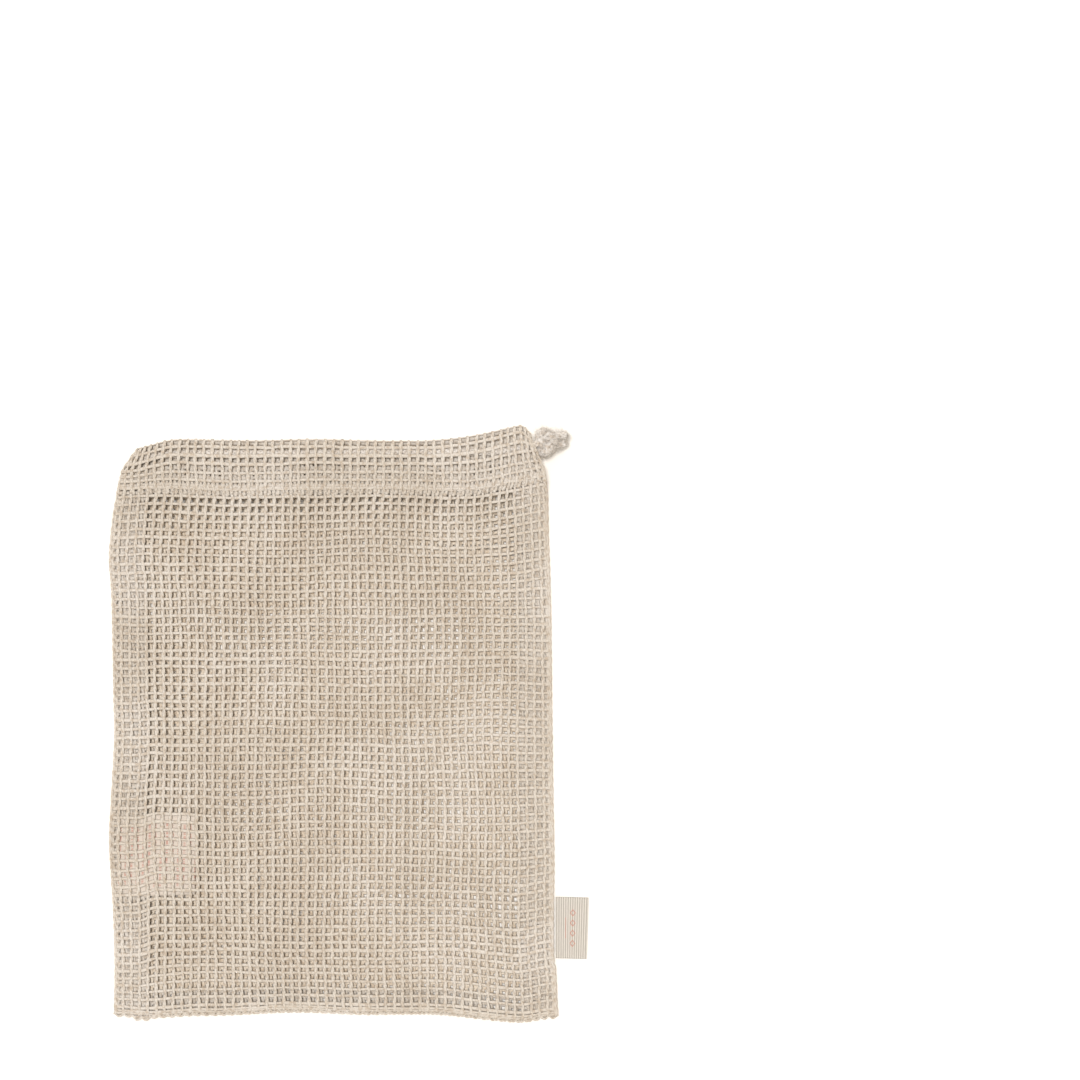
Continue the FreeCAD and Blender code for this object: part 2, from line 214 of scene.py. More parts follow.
BACK_STRIP = through([
    (TIP + 0.3, 2.75), (TIP + 1.0, 1.6), (TIP + 3.2, 1.0), (TIP + 9.0, 0.86), (-100.0, 0.85), (-60.0, 0.85),
    (0.0, 0.85), (60.0, 0.95), (76.0, 1.8), (91.0, 3.0), (99.0, 2.7), (106.0, 1.3), (114.0, 0.85),
    (122.0, 0.95), (125.4, 1.6), (TOP - 0.6, 3.2), (125.6, 4.7), (122.0, 5.35), (115.0, 5.4), (111.4, 5.0),
    (108.6, 3.6), (106.0, 2.4), (104.6, 2.0), (105.8, 1.6), (108.5, 1.6), (111.0, 1.7),
])


class Strip:
    """A (y, z) line measured along its own length."""

    def __init__(self, line):
        steps = np.linalg.norm(np.diff(line, axis=0), axis=1)
        self.run = np.concatenate([[0.0], np.cumsum(steps)])
        self.line = line
        self.length = self.run[-1]

    def at(self, s):
        return np.interp(s, self.run, self.line[:, 0]), np.interp(s, self.run, self.line[:, 1])

    def reach(self, y):
        """How far along the strip the panel first gets to y."""
        top = np.argmax(self.line[:, 0]) + 1
        return float(np.interp(y, self.line[:top, 0], self.run[:top]))


# The outlines of the sides, as (y, x).
LEFT_EDGE = through([
    (-131.0, -96.9), (-102.0, -96.6), (-76.0, -97.4), (-49.0, -99.0), (-31.0, -98.3), (-2.0, -96.7),
    (13.0, -97.1), (57.0, -97.9), (75.0, -99.0), (90.0, -97.8), (98.0, -96.6), (105.0, -94.8),
    (110.0, -93.8), (114.0, -93.2), (118.0, -92.4), (122.0, -90.1), (126.0, -86.9), (129.0, -84.0),
])
RIGHT_EDGE = through([
    (-131.0, 98.6), (-108.0, 97.6), (-101.0, 96.8), (-73.0, 96.7), (-58.0, 96.9), (-31.0, 96.4), (13.0, 95.8),
    (45.0, 95.5), (66.0, 95.0), (84.0, 94.2), (97.0, 93.9), (103.5, 93.4), (110.0, 92.0), (116.0, 89.6),
    (122.0, 87.7), (131.0, 85.6),
])


def swell(x, y, seed, size):
    """A soft uneven field of about -1 to 1, with features of about the given size."""
    random = np.random.default_rng(seed)
    total = 0.0
    for _ in range(6):
        angle, phase = random.uniform(0, 2 * math.pi, 2)
        wave = 2 * math.pi / (size * random.uniform(0.7, 1.6))
        total = total + np.sin((x * math.cos(angle) + y * math.sin(angle)) * wave + phase)
    return total / 3.0


def pull(x, start, end):
    """A pull that grows from start to end, steeper and steeper."""
    return np.clip((x - start) / (end - start), 0, 1) ** 1.6


def row_shift(x, y, front):
    """How far the rows are bent up or down at each place."""
    # Up to the knot, from further left along the top of the hem, and down again past the knot.
    to_knot = 5.6 * pull(x, 58.0, 92.0) * rise(y, 45.0, 105.0)
    to_knot = to_knot + (6.4 * pull(x, 40.0, 84.0) - 5.6 * pull(x, 58.0, 92.0)) * rise(y, 108.0, 126.0)
    to_knot = to_knot - 5.0 * rise(x, 82.0, 89.0) * rise(y, 117.0, 126.0)
    # Down along the left seam and at the hem's left corner, and up a little at the bottom corner.
    left = -2.2 * rise(y, 55.0, -75.0) * (1 - rise(x, -87.0, -78.0))
    left = left - 4.4 * (1 - rise(x, -92.0, -68.0)) * rise(y, 106.0, 122.0)
    corner = 0.5 * (1 - rise(x, -92.0, -86.0))
    if not front:
        corner = corner - 1.2 * np.exp(-((x + 85.0) / 5.0) ** 4)
    at_bottom = rise(y, -100.0, -125.0)
    left = left * (1 - at_bottom) + corner * at_bottom
    # Down and up again towards the right seam.
    right = (-1.7 * rise(x, 40.0, 82.0) + 2.3 * rise(x, 80.0, 97.0)) * rise(y, -15.0, -75.0)
    # The bottom fold isn't quite straight.
    bottom = 1.0 + 0.8 * rise(x, -80.0, -60.0) - 1.7 * rise(x, 20.0, 95.0)
    bottom = bottom + 1.3 * np.cos(x / 97.0 * math.pi / 2)
    return to_knot + left + right + bottom * rise(y, -90.0, -125.0)


# The layer inside the hem lies part of a cell away from the outer one, both ways.
INNER_ASIDE, INNER_ROWS = 0.42, 0.5
# The back's yarns run about half a cell away from the front's, so that each hole shows a crossing.
BACK_ASIDE, BACK_ROWS = 0.38, 0.62
BACK_WANDER = 0.42  # how far the back's yarns stray from the way that both sides bend
SWELL_X_SEED, SWELL_Y_SEED = 11, 13  # of the bends that both sides share
HEM_START = 96.0
SEAM_Z = 2.9  # where front and back meet at the sides
HEM_LEFT_Z = 8.35  # the middle of the hem's left turn
HEM_RIGHT_Z = {True: 11.2, False: 1.4}  # the front's and the back's open ends at the right
SEAM_ROLL, HEM_ROLL = 3.5, 8.5  # how far in from an edge the cloth has reached its full height
LOWEST = 0.82  # the middle of a yarn that lies on the floor


class Side:
    """The front or the back as a surface over (u, s): columns across and the way along its strip."""

    def __init__(self, line, front, seed):
        self.strip, self.front, self.seed = Strip(line), front, seed
        self.wander = 0.0 if front else BACK_WANDER
        self.top_s = self.strip.run[np.argmax(line[:, 0])]
        self.turn_s = self.strip.run[np.argmin(np.where(self.strip.run > self.top_s, line[:, 0], TOP))]

    def across(self, u, s, y, inside):
        """x at each place: the outlines at the two edges, and smooth drift between them."""
        x = (u - COLUMNS / 2) * PITCH_X
        left = np.interp(y, LEFT_EDGE[:, 0], LEFT_EDGE[:, 1]) + HALF_WIDTH
        right = np.interp(y, RIGHT_EDGE[:, 0], RIGHT_EDGE[:, 1]) - HALF_WIDTH
        fall = 3.2 + 9.0 * (1 - rise(y, 98.0, 108.0))
        x = x + left * np.exp(-u / fall) + right * np.exp(-(COLUMNS - u) / fall)
        aside = INNER_ASIDE * smooth((s - self.top_s) / 6.0) + (0.0 if self.front else BACK_ASIDE)
        x = x + aside * PITCH_X * inside
        stray = 0.7 * swell(x, y, SWELL_X_SEED, 70.0) + self.wander * swell(x, y, self.seed, 50.0)
        return x + stray * inside

    def height(self, u, x, y, z, inside):
        """z at each place: the strip's height, rolled over to the seams, with soft swells in the front."""
        hem = rise(y, HEM_START, HEM_START + 12.0)
        seam_left = SEAM_Z + (HEM_LEFT_Z - SEAM_Z) * hem
        seam_right = SEAM_Z + (HEM_RIGHT_Z[self.front] - SEAM_Z) * rise(y, HEM_START, HEM_START + 9.0)
        left_roll = SEAM_ROLL + (HEM_ROLL - SEAM_ROLL) * hem
        quick = 0.78 + 0.22 * hem
        for near, seam, radius in ((u * PITCH_X, seam_left, left_roll),
                                   ((COLUMNS - u) * PITCH_X, seam_right, SEAM_ROLL)):
            roll = np.sqrt(np.maximum(1 - (1 - np.clip(near / radius, 0, 1)) ** 2, 0))
            z = seam + (z - seam) * (quick * roll + (1 - quick) * smooth(near / 20.0))
        if self.front:
            panel = inside * rise(y, 100.0, 70.0) * rise(y, -122.0, -97.0)
            z = z + 0.55 * swell(x, y, self.seed + 1, 60.0) * panel
            z = z + 0.35 * swell(x, y, self.seed + 3, 26.0) * rise(y, 108.0, 114.0) * inside
        return np.maximum(z, LOWEST)

    def __call__(self, u, s):
        u, s = np.broadcast_arrays(np.asarray(u, float), np.asarray(s, float))
        y, z = self.strip.at(s)
        inside = smooth((COLUMNS / 2 - abs(u - COLUMNS / 2)) / 5.0)
        x = self.across(u, s, y, inside)
        z = self.height(u, x, y, z, inside)
        y = y + row_shift(x, y, self.front) + 0.55 * swell(x, y, SWELL_Y_SEED, 55.0) * inside
        y = y + self.wander * swell(x, y, self.seed + 2, 60.0) * inside
        return np.stack([x, y, z], -1)

    def axes(self, u, s):
        """The cloth's directions across and along, and its outward normal."""
        step = 0.05
        along = unit(self(u, s + step) - self(u, s - step))
        across = unit(self(np.minimum(u + step / 4, COLUMNS), s) - self(np.maximum(u - step / 4, 0), s))
        return across, along, unit(np.cross(across, along))


FRONT = Side(FRONT_STRIP, True, 11)
BACK = Side(BACK_STRIP, False, 42)


# ---- yarns

# Half widths and half heights of a yarn's cross-section, and how far a pair's two yarns lie from its middle.
WARP_WIDE, WARP_HIGH = 0.62, 0.32
WARP_ASIDE, WARP_ABOVE = 0.30, 0.36
WEFT_WIDE, WEFT_HIGH = 0.76, 0.36
ROW_LIMIT, COLUMN_LIMIT = 90, 64


class Net:
    """The yarns of one layer: twisted pairs along it, with a thicker yarn laid through them at each row."""

    def __init__(self, place, seed, row_start=0.0, bulk=1.0, hem_bulk=1.1):
        self.place, self.row_start, self.bulk, self.hem_bulk = place, row_start, bulk, hem_bulk
        self.warp_x = Drift(seed, COLUMN_LIMIT, ROW_LIMIT * 2)
        self.warp_size = Drift(seed + 1, COLUMN_LIMIT * 2, ROW_LIMIT * 2)
        self.weft_y = Drift(seed + 2, ROW_LIMIT, COLUMN_LIMIT * 2)
        self.weft_size = Drift(seed + 3, ROW_LIMIT, COLUMN_LIMIT * 4)
        random = np.random.default_rng(seed + 4)
        self.row_offset = random.normal(size=ROW_LIMIT)
        self.row_size = random.normal(size=ROW_LIMIT)
        self.column_offset = random.normal(size=COLUMN_LIMIT)
        self.column_size = random.normal(size=COLUMN_LIMIT)

    def thickness(self, s):
        """The yarns' size, which differs where they are turned in inside the hem."""
        return self.bulk + (self.hem_bulk - self.bulk) * smooth((s - self.place.top_s - 2.0) / 8.0)

    def warps(self, build, columns, s_low, s_high, steps=4):
        """The pairs of yarns along the bag, twisted half a turn in each cell."""
        rings = max(3, int(round((s_high - s_low) / PITCH_Y * steps)) + 1)
        s = np.linspace(s_low, s_high, rings)[None, :]
        columns = np.asarray(columns, float)[:, None]
        number = np.round(columns).astype(int) % COLUMN_LIMIT
        cells = (s - self.row_start) / PITCH_Y
        wander = 0.035 * self.warp_x(number, cells * 0.6 + 3.0) + 0.03 * self.column_offset[number]
        from_edge = np.clip(np.minimum(columns, COLUMNS - columns), 0.0, 1.0)
        u = np.clip(columns + wander * from_edge, 0.02, COLUMNS - 0.02)
        s = np.broadcast_to(s, u.shape)
        middle = self.place(u, s)
        across, along, out = self.place.axes(u, s)
        for strand in (0, 1):
            turn = math.pi * (cells + strand) + math.pi * (number % 2) \
                + 0.25 * self.warp_x(number, cells * 0.4 + 40.0)
            size = 1 + 0.10 * self.warp_size(number + COLUMN_LIMIT * strand, cells * 1.3 + 2.0) \
                + 0.06 * self.column_size[number]
            size = np.clip(size, 0.72, 1.35) * self.thickness(s)
            points = middle + across * (WARP_ASIDE * np.cos(turn))[..., None] \
                + out * (WARP_ABOVE * np.sin(turn))[..., None]
            build.tubes(points, across, out, WARP_WIDE * size, WARP_HIGH * size, flip=True)

    def wefts(self, build, rows, u_low, u_high, steps=3):
        """The rows' yarns, a little thinner where the pairs grip them."""
        rings = int(round((u_high - u_low) * steps)) + 1
        u = np.linspace(u_low, u_high, rings)[None, :]
        place = np.asarray(rows, float)[:, None]
        rows = np.floor(place).astype(int) % ROW_LIMIT
        wander = 0.12 * self.weft_y(rows, u * 0.7 + 2.0) + 0.13 * self.row_offset[rows] \
            + 0.10 * self.weft_y(rows, u * 0.16 + 60.0)
        s = np.maximum(self.row_start + (place + 0.5) * PITCH_Y + wander, 0.1)
        inner = (s > self.place.top_s + PITCH_Y / 2) & (s < self.place.turn_s)
        s = s - INNER_ROWS * PITCH_Y * inner
        u = np.broadcast_to(u, s.shape)
        middle = self.place(u, s)
        across, along, out = self.place.axes(u, s)
        size = 1 + 0.12 * self.weft_size(rows, u * 1.7 + 1.0) + 0.09 * self.row_size[rows]
        size = np.clip(size, 0.70, 1.4) * (1 - 0.10 * np.cos(2 * math.pi * u)) * self.thickness(s)
        build.tubes(middle, along, out, WEFT_WIDE * size, WEFT_HIGH * size)

    def rows_between(self, s_low, s_high):
        """The numbers of the rows whose middles lie between two places along the strip."""
        first = math.ceil((s_low - self.row_start) / PITCH_Y - 0.5)
        last = math.floor((s_high - self.row_start) / PITCH_Y - 0.5 - 1e-6)
        return np.arange(max(first, 0), last + 1)


# The rows are counted so that one of them lies right along the top fold of the hem.
FOLD_ROW_SHIFT = (FRONT.top_s / PITCH_Y - 0.5) % 1.0 * PITCH_Y - PITCH_Y
front_net = Net(FRONT, 101, row_start=FOLD_ROW_SHIFT, hem_bulk=1.25)
back_row_shift = (BACK.strip.reach(0.0) - FRONT.strip.reach(0.0) + FOLD_ROW_SHIFT) / PITCH_Y + BACK_ROWS
back_net = Net(BACK, 202, row_start=(back_row_shift % 1.0 - 1.0) * PITCH_Y, bulk=1.18)
FOLD_ROWS = (0.9, 2.1)  # the two rows pressed together at the bottom fold, along the strip
OUTER_YARN = 0.12  # from the bag's edge to its outermost pair, in cells
ALL_COLUMNS = [OUTER_YARN, *range(1, COLUMNS), COLUMNS - OUTER_YARN]
LOOP_OUT, LOOP_IN = 1.05, 0.30  # how far the scallops reach past the fold, and behind it


def scallops(build, place, u_low, u_high):
    """The yarn that turns back along the folded edge, looping a little past it at every cell."""
    u = np.arange(u_low + 0.05, u_high - 0.05, 0.125)[None, :]
    middle = place(u, 0 * u)
    middle[..., 1] -= (LOOP_OUT + LOOP_IN) * abs(np.sin(math.pi * u)) - LOOP_IN
    side, up = (np.broadcast_to(way, middle.shape) for way in ((0.0, 1.0, 0.0), (0.0, 0.0, 1.0)))
    build.tubes(middle, side, up, 0.50 + 0 * u, 0.7 + 0 * u)


class Under:
    """A layer that lies under the front's, a little lower, and runs slightly askew to it."""

    top_s, turn_s = FRONT.top_s, FRONT.turn_s

    def __init__(self, drop, askew=0.0, aside=0.0):
        self.drop, self.askew, self.aside = drop, askew, aside

    def __call__(self, u, s):
        u, s = np.broadcast_arrays(np.asarray(u, float), np.asarray(s, float))
        near = np.minimum(u, COLUMNS - u)
        points = FRONT(u + self.aside, s + self.askew * (near - 2.0) * PITCH_X)
        by_label = smooth(1.3 - abs(points[..., 1] - CARE_MIDDLE) / 22.0) * (u < COLUMNS / 2)
        drop = (self.drop + 0.5 * by_label) * smooth(near / 0.9)
        return points - np.stack([0 * near, 0 * near, drop], -1)

    axes = Side.axes


def allowance_yarns(build, right, low, high, seed):
    """Two layers of net turned in along a side seam."""
    for drop, askew, columns, row_part in ((1.2, 0.10, (0.4, 1.38, 2.36, 3.4), 0.36),
                                           (1.95, -0.07, (0.75, 1.72, 2.7, 3.75), 0.68)):
        net = Net(Under(drop, askew), seed, FOLD_ROW_SHIFT + row_part * PITCH_Y, bulk=1.12)
        seed += 7
        spots = np.array(columns)
        net.warps(build, COLUMNS - spots if right else spots, low, high)
        u_low, u_high = (COLUMNS - 4.0, COLUMNS - 0.4) if right else (0.4, 4.0)
        net.wefts(build, net.rows_between(low, high), u_low, u_high)


def cloth_piece(name, net, u_low, u_high, s_low, s_high, material):
    build = Build()
    columns = [c for c in ALL_COLUMNS if u_low <= c < u_high]
    net.warps(build, columns, s_low, s_high)
    rows = net.rows_between(s_low, s_high)
    if s_low == 0.0:
        rows = np.concatenate([(np.array(FOLD_ROWS) - net.row_start) / PITCH_Y - 0.5, rows[rows > 0]])
        scallops(build, net.place, u_low, u_high)
        if net is front_net:
            allowance_yarns(build, False, FOLD_ROWS[-1], s_high + 0.5, 301)
            allowance_yarns(build, True, FOLD_ROWS[-1], s_high + 0.5, 351)
    net.wefts(build, rows, u_low, u_high)
    return build.mesh(name, material, flat_map=True)


def sewn(piece, node):
    """The same piece, with the CAD node that it stands for hidden."""
    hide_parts(node)
    return piece


# ---- materials

def srgb(red, green, blue):
    def linear(value):
        value /= 255.0
        return value / 12.92 if value <= 0.04045 else ((value + 0.055) / 1.055) ** 2.4
    return (linear(red), linear(green), linear(blue), 1.0)


class Shader:
    """A Principled material and the nodes that feed it."""

    def __init__(self, name):
        self.material = bpy.data.materials.new(name)
        self.material.use_nodes = True
        self.nodes = self.material.node_tree.nodes
        self.links = self.material.node_tree.links
        self.bsdf = next(n for n in self.nodes if n.type == "BSDF_PRINCIPLED")
        self.place = self.node("ShaderNodeTexCoord").outputs["Object"]

    def feed(self, socket, value):
        """Links another node's output to a socket, or sets it to a fixed value."""
        if isinstance(value, bpy.types.NodeSocket):
            self.links.new(value, socket)
        else:
            socket.default_value = value

    def node(self, kind, **values):
        node = self.nodes.new(kind)
        for key, value in values.items():
            if hasattr(node, key):
                setattr(node, key, value)
            else:
                self.feed(node.inputs[key], value)
        return node

    def stretched(self, scale):
        return self.node("ShaderNodeMapping", Vector=self.place, Scale=scale).outputs[0]

    def noise(self, size_mm, detail, vector=None):
        return self.node("ShaderNodeTexNoise", Vector=vector or self.place, Scale=1000.0 / size_mm,
                         Detail=detail, Roughness=0.55).outputs[0]

    def ramp(self, value, stops):
        node = self.node("ShaderNodeValToRGB")
        self.links.new(value, node.inputs[0])
        while len(node.color_ramp.elements) < len(stops):
            node.color_ramp.elements.new(0.5)
        for element, (at, colour) in zip(node.color_ramp.elements, stops):
            element.position = at
            element.color = colour
        return node.outputs[0]

    def mix(self, factor, a, b, kind="MIX"):
        node = self.nodes.new("ShaderNodeMix")
        node.data_type = "RGBA"
        node.blend_type = kind
        for number, value in ((0, factor), (6, a), (7, b)):
            self.feed(node.inputs[number], value)
        return node.outputs[2]

    def between(self, value, low, high, from_low=0.3, from_high=0.7):
        node = self.node("ShaderNodeMapRange")
        for socket, number in zip(node.inputs, (value, from_low, from_high, low, high)):
            self.feed(socket, number)
        return node.outputs[0]

    def finish(self, colour, roughness, height, distance_mm, sheen=0.2):
        bump = self.node("ShaderNodeBump", Strength=0.6, Distance=distance_mm / 1000.0, Height=height)
        for name, value in (("Base Color", colour), ("Roughness", roughness), ("Normal", bump.outputs[0]),
                            ("Sheen Weight", sheen), ("Sheen Roughness", 0.6), ("Specular IOR Level", 0.25)):
            self.feed(self.bsdf.inputs[name], value)
        return self.material


def cotton(name, dark, middle, light, fibre_mm=0.25, bump_mm=0.06):
    """Undyed cotton: broad soft changes of tone, flecks along the yarns, and a matt fibrous surface."""
    shader = Shader(name)
    broad = shader.noise(38.0, 2.0)
    fleck = shader.noise(1.6, 4.0)
    colour = shader.ramp(broad, [(0.34, srgb(*dark)), (0.5, srgb(*middle)), (0.66, srgb(*light))])
    tint = shader.ramp(fleck, [(0.36, srgb(226, 216, 204)), (0.55, srgb(255, 255, 255))])
    colour = shader.mix(0.8, colour, tint, "MULTIPLY")
    fibres = shader.noise(fibre_mm, 5.0)
    roughness = shader.between(fibres, 0.82, 0.96)
    return shader.finish(colour, roughness, fibres, bump_mm)


NET_COTTON = cotton("net_cotton", (203, 193, 179), (208, 199, 186), (213, 205, 194))
# The back's panel and hem get a paler, warmer copy of the net cotton: painted light standing in for the glow
# that reaches the back layer through the front's holes.
PAINTED_LIGHT_BACK_COTTON = cotton("painted_light_back_cotton", (221, 207, 187), (226, 213, 194), (230, 219, 202))
CORD_COTTON = cotton("cord_cotton", (215, 207, 195), (220, 212, 202), (225, 218, 209), 0.18, 0.05)
# The knot, the ends and their fuzz get a paler copy of the cord's cotton: painted light that lifts the shade
# the braid casts on itself.
PAINTED_LIGHT_CORD_COTTON = cotton("painted_light_cord_cotton", (221, 215, 207), (226, 221, 214), (231, 227, 221), 0.18, 0.05)
THREAD_COTTON = cotton("sewing_thread", (206, 196, 181), (211, 202, 189), (216, 208, 197), 0.12, 0.03)


# ---- the drawstring

FRONT_RUN = [(90.2, 126.2, 10.3), (82.0, 123.6, 13.6), (66.0, 121.8, 13.6), (36.0, 122.3, 13.6),
             (-14.0, 121.2, 13.6), (-56.0, 121.6, 13.6), (-73.0, 120.9, 13.5)]
BIGHT = [(-83.0, 119.4, 13.2), (-87.0, 117.0, 10.5), (-87.4, 113.2, 6.2), (-84.0, 110.6, 3.3)]
BACK_RUN = [(-73.0, 110.9, 3.1), (-56.0, 110.5, 3.1), (-12.0, 111.6, 3.1), (34.0, 113.4, 3.1),
            (64.0, 116.8, 3.1), (80.5, 121.4, 3.3), (90.2, 125.8, 6.4)]
UPPER_TAIL = [(92.6, 128.2, 9.2), (95.2, 129.0, 9.4), (99.0, 130.1, 9.2), (102.2, 129.6, 8.6)]
LOWER_TAIL = [(92.6, 126.2, 7.6), (95.2, 125.8, 7.2), (99.2, 125.6, 6.8), (101.8, 126.4, 6.4)]
CORD = 3.5
BRAID_STEP = 0.42  # between the rings of a braid's strands
CARRIERS, LAY = 4, 10.0  # the strands wound each way, and how far one goes in a turn
FRAY_COUNT = 150
FUZZ_COUNT = 7500


def nurbs(name, route, closed=False):
    """The route's own spline, with the route's points as its control points."""
    data = bpy.data.curves.new(name, "CURVE")
    data.dimensions = "3D"
    spline = data.splines.new("NURBS")
    spline.points.add(len(route) - 1)
    for point, place in zip(spline.points, to_frame(route)):
        point.co = (*place, 1.0)
    spline.order_u = 3
    spline.use_endpoint_u = not closed
    spline.use_cyclic_u = closed
    spline.resolution_u = 24
    return new_object(name, data)


def followed(curve):
    """The points of the route's own spline, in millimetres, and the curve is put away."""
    bpy.context.view_layer.update()
    mesh = bpy.data.meshes.new_from_object(curve)
    points = np.array([v.co for v in mesh.vertices]) * 1000.0 - (CENTRE, 0.0, 0.0)
    bpy.data.meshes.remove(mesh)
    bpy.data.objects.remove(curve)
    return points


def even(line, step):
    """The line's points at even steps, after how far along it each one is."""
    run = np.concatenate([[0.0], np.cumsum(np.linalg.norm(np.diff(line, axis=0), axis=1))])
    at = np.linspace(0.0, run[-1], max(4, int(round(run[-1] / step)) + 1))
    return at, np.stack([np.interp(at, run, line[:, axis]) for axis in range(3)], -1)


def carried_frame(line):
    """Two directions square to a line, turned as little as possible from point to point."""
    along = unit(np.gradient(line, axis=0))
    first = np.cross(along[0], (0.0, 0.0, 1.0))
    side = [unit(first if np.linalg.norm(first) > 0.1 else np.array((1.0, 0.0, 0.0)))]
    for direction in along[1:]:
        side.append(unit(side[-1] - direction * np.dot(side[-1], direction)))
    side = np.array(side)
    return side, np.cross(along, side)


def braid(build, line, radius):
    """A round braid over a core: strands wound both ways round the line, over one and under the next."""
    at, line = even(line, BRAID_STEP)
    side, up = carried_frame(line)
    wave = np.cos(2 * math.pi * CARRIERS * at / LAY)
    wide, high = np.full(len(at), radius * 0.40), np.full(len(at), radius * 0.20)
    for way in (1, -1):
        for carrier in range(CARRIERS):
            turn = way * 2 * math.pi * at / LAY + 2 * math.pi * carrier / CARRIERS
            out = side * np.cos(turn)[:, None] + up * np.sin(turn)[:, None]
            strand = line + out * (radius * (0.73 + 0.09 * way * wave))[:, None]
            across = unit(np.cross(unit(np.gradient(strand, axis=0)), out))
            build.tubes(strand[None], across[None], out[None], wide[None], high[None])
    core = np.full((1, len(at)), radius * 0.66)
    build.tubes(line[None], side[None], up[None], core, core, sides=8)


def hairs(build, roots, ways, lengths, seed, thick, curl):
    """Loose fibres: thin tubes that leave their roots in the given ways and curl at random."""
    random = np.random.default_rng(seed)
    count = len(roots)
    lean = unit(random.normal(size=(count, 3)))
    side = unit(np.cross(ways, lean))
    up = unit(np.cross(ways, side))
    bend = (random.uniform(-curl, curl, (count, 1, 1)) * side[:, None]
            + random.uniform(-curl, curl, (count, 1, 1)) * up[:, None])
    t = np.linspace(0, 1, 4)[None, :, None]
    reach = lengths[:, None, None]
    points = roots[:, None] + reach * (t * ways[:, None] + t ** 2 * bend)
    taper = np.broadcast_to(thick * (1 - 0.6 * t[..., 0]), points.shape[:2])
    spread = np.broadcast_to(side[:, None], points.shape), np.broadcast_to(up[:, None], points.shape)
    build.tubes(points, *spread, taper, taper, sides=3)


drawstring_line = followed(nurbs("drawstring_route", FRONT_RUN + BIGHT + BACK_RUN))
build = Build()
braid(build, drawstring_line, CORD / 2)
drawstring = build.mesh("drawstring_cord", CORD_COTTON)

# Both ends of the cord are tied together in one overhand knot, drawn up tight.
KNOT_MIDDLE = np.array((93.4, 126.6, 8.35))
KNOT_SCALE = np.array((1.2, 1.6, 1.9))
KNOT_CORD = 4.5  # both ends together, drawn tight, are less than twice one cord
KNOT_TURNS = [((2.0 + math.cos(1.5 * turn)) * math.cos(turn), (2.0 + math.cos(1.5 * turn)) * math.sin(turn),
               math.sin(1.5 * turn)) for turn in np.linspace(0.4, 4 * math.pi + 0.4, 24, endpoint=False)]


def frayed_tail(name, route, seed):
    """A cut end of the cord: the braid, and its fibres spread out at the tip."""
    line = followed(nurbs(name + "_route", route))
    build = Build()
    braid(build, line, CORD / 2)
    random = np.random.default_rng(seed)
    along = unit(line[-1] - line[-4])
    spread = random.normal(size=(FRAY_COUNT, 3))
    spread -= (spread @ along)[:, None] * along
    spread = spread / 2.2
    roots = line[-1] + spread * CORD / 3 - along * random.uniform(0.2, 1.2, (FRAY_COUNT, 1))
    hairs(build, roots, unit(along + 0.55 * spread), random.uniform(0.9, 2.3, FRAY_COUNT), seed, thick=0.07,
          curl=0.5)
    return build.mesh(name, PAINTED_LIGHT_CORD_COTTON), line


build = Build()
knot_line = followed(nurbs("knot_route", KNOT_MIDDLE + KNOT_SCALE * np.array(KNOT_TURNS), closed=True))
braid(build, np.concatenate([knot_line, knot_line[:1]]), KNOT_CORD / 2)
knot = build.mesh("overhand_knot", PAINTED_LIGHT_CORD_COTTON)
upper_tail, upper_line = frayed_tail("upper_cord_end", UPPER_TAIL, 71)
lower_tail, lower_line = frayed_tail("lower_cord_end", LOWER_TAIL, 72)


def fuzz(name, lines, seed):
    """The down of loose fibres on brushed cotton cord."""
    random = np.random.default_rng(seed)
    line = np.concatenate(lines)
    roots = line[random.integers(0, len(line), FUZZ_COUNT)]
    out = unit(random.normal(size=(FUZZ_COUNT, 3)))
    build = Build()
    hairs(build, roots + out * CORD / 2 * 0.9, unit(out + 1.2 * random.normal(size=(FUZZ_COUNT, 3))),
          random.uniform(0.9, 2.8, FUZZ_COUNT), seed, thick=0.045, curl=1.1)
    return build.mesh(name, PAINTED_LIGHT_CORD_COTTON)


cord_fuzz = fuzz("cord_fuzz", [knot_line, upper_line, lower_line], 73)


# ---- floor and light

# A round floor that curves up into a wall, as (radius, height) in metres.
SWEEP = [(0.0, 0.0), (2.4, 0.0), (2.7, 0.04), (2.9, 0.14), (3.05, 0.34), (3.1, 0.6), (3.1, 1.6)]
SWEEP_SIDES = 96
FLOOR_DROP = 0.0002  # the floor lies just under the bag, so that the two don't touch


def swept_floor():
    turns = np.arange(SWEEP_SIDES) * 2 * math.pi / SWEEP_SIDES
    verts = [(0.0, 0.0, 0.0)] + [(radius * math.cos(turn), radius * math.sin(turn), height)
                                 for radius, height in SWEEP[1:] for turn in turns]
    faces = [(0, 1 + n, 1 + (n + 1) % SWEEP_SIDES) for n in range(SWEEP_SIDES)]
    for first in range(1, 1 + (len(SWEEP) - 2) * SWEEP_SIDES, SWEEP_SIDES):
        for n in range(SWEEP_SIDES):
            beside = (n + 1) % SWEEP_SIDES
            faces.append((first + n, first + SWEEP_SIDES + n, first + SWEEP_SIDES + beside, first + beside))
    mesh = bpy.data.meshes.new("floor")
    mesh.from_pydata(verts, [], faces)
    mesh.polygons.foreach_set("use_smooth", [True] * len(faces))
    shader = Shader("floor")
    shader.bsdf.inputs["Base Color"].default_value = srgb(248, 244, 237)
    shader.bsdf.inputs["Roughness"].default_value = 0.9
    mesh.materials.append(shader.material)
    thing = new_object("floor", mesh)
    thing.location.z = -FLOOR_DROP
    return thing


def sun_light(name, place, spread, strength):
    """A large soft light far away in the direction of place."""
    data = bpy.data.lights.new(name, "SUN")
    data.angle = math.radians(spread)
    data.energy = strength
    data.color = (0.98, 0.98, 1.0)
    light = new_object(name, data)
    light.rotation_euler = Vector(place).to_track_quat("Z", "Y").to_euler()


